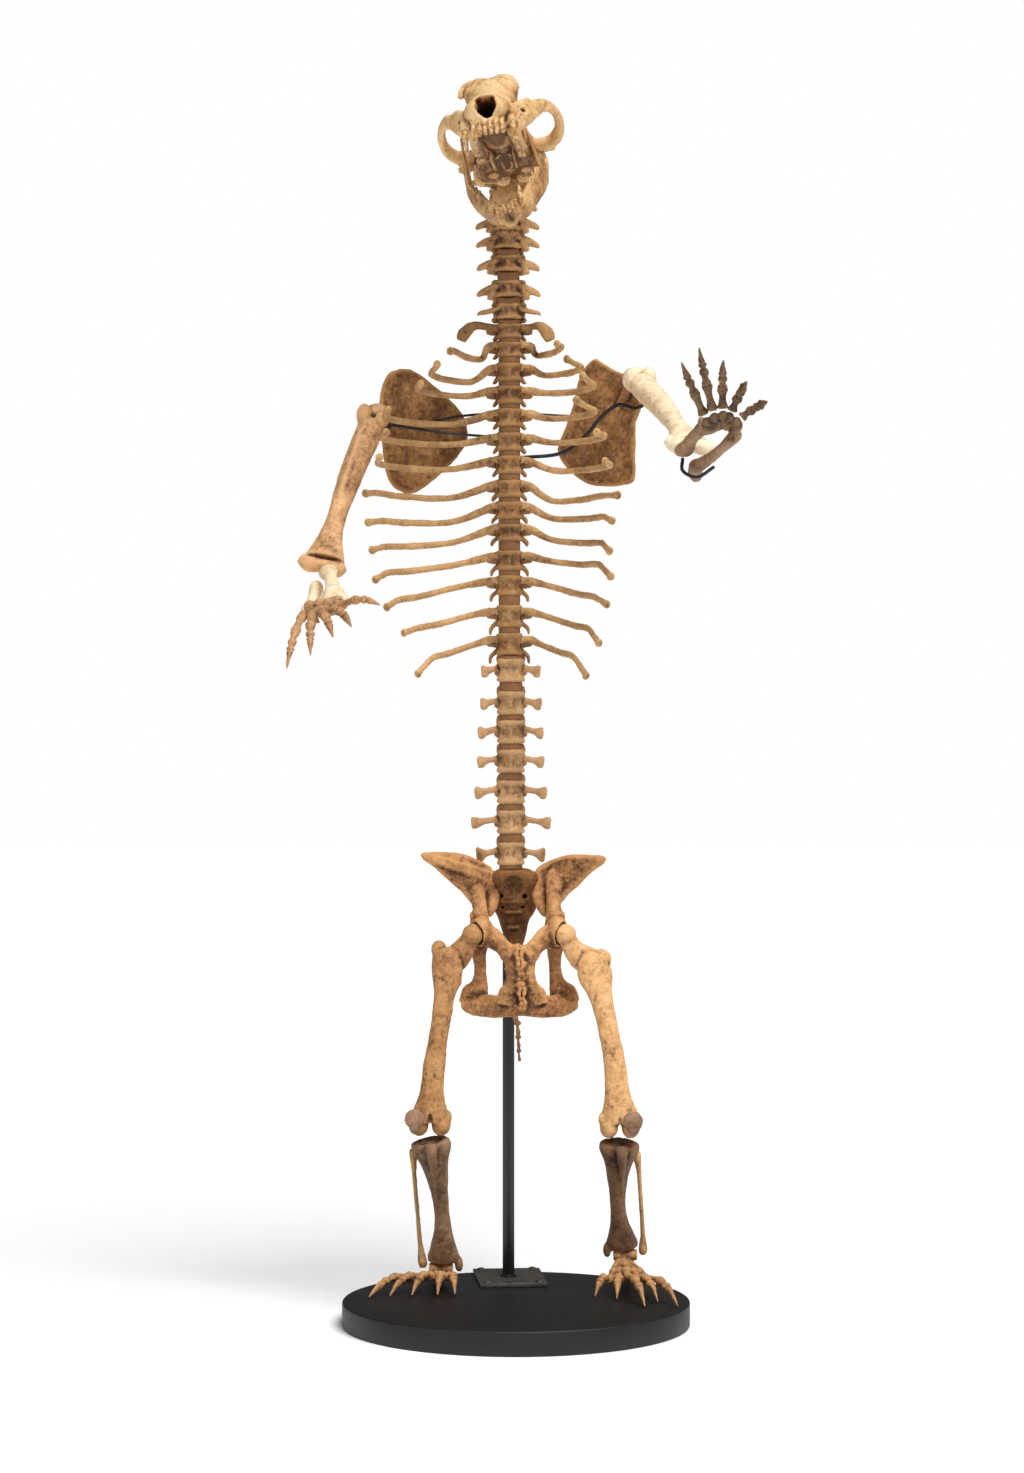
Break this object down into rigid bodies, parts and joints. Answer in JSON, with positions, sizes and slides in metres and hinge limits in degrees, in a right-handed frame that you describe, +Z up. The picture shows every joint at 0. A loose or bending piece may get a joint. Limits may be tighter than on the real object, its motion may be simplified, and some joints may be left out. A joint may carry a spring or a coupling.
{
  "type": "mounted cave bear skeleton",
  "caption": "Life-size fossil skeleton of a cave bear standing upright on its hind legs with open jaws, held by a rear post and rods on a round black base.",
  "frame": {"origin": "centre of the flat underside of the round display base", "axes": "+Z up along the standing animal, -Y the way it faces, +X its left side"},
  "size_m": [0.9303, 1.0654, 2.5972],
  "materials": {
    "skull_bone": "matt pale tan fossil bone",
    "rib_bone": "satin golden ochre fossil bone",
    "vertebra_bone": "matt brown fossil bone",
    "pale_bone": "matt cream fossil bone",
    "dark_bone": "matt dark brown fossil bone",
    "pelvis_bone": "matt orange-brown fossil bone",
    "black_paint": "matt black paint",
    "dark_steel": "dark satin steel"
  },
  "bodies": {
    "root": {"skull": "skull_bone", "mandible": "skull_bone", "neck_vertebrae": "vertebra_bone", "lumbar_vertebrae": "vertebra_bone", "tail": "vertebra_bone", "patella_right": "vertebra_bone", "patella_left": "vertebra_bone", "tibia_right": "vertebra_bone", "tibia_left": "vertebra_bone", "rib_cage_right": "rib_bone", "rib_cage_left": "rib_bone", "scapula_right": "rib_bone", "scapula_left": "rib_bone", "humerus_right": "rib_bone", "femur_right": "rib_bone", "femur_left": "rib_bone", "fibula_right": "rib_bone", "fibula_left": "rib_bone", "tarsus_right": "rib_bone", "tarsus_left": "rib_bone", "toe_right_1": "rib_bone", "toe_right_2": "rib_bone", "toe_right_3": "rib_bone", "toe_right_4": "rib_bone", "toe_right_5": "rib_bone", "toe_left_1": "rib_bone", "toe_left_2": "rib_bone", "toe_left_3": "rib_bone", "toe_left_4": "rib_bone", "toe_left_5": "rib_bone", "sacrum": "pelvis_bone", "hip_bone_right": "pelvis_bone", "hip_bone_left": "pelvis_bone", "humerus_left": "pale_bone", "radius_right": "pale_bone", "ulna_right": "pale_bone", "radius_left": "vertebra_bone", "ulna_left": "vertebra_bone", "carpus_right": "vertebra_bone", "finger_right_1": "vertebra_bone", "finger_right_2": "vertebra_bone", "finger_right_3": "vertebra_bone", "finger_right_4": "vertebra_bone", "finger_right_5": "vertebra_bone", "carpus_left": "dark_bone", "finger_left_1": "dark_bone", "finger_left_2": "dark_bone", "finger_left_3": "dark_bone", "finger_left_4": "dark_bone", "finger_left_5": "dark_bone", "stand_base": "black_paint", "stand_post": "black_paint", "stand_post_arm": "black_paint", "stand_shoulder_rod_right": "black_paint", "stand_shoulder_rod_left": "black_paint", "stand_arm_rod_left": "black_paint", "stand_elbow_bracket": "black_paint", "stand_plate": "dark_steel"}
  },
  "joints": []
}
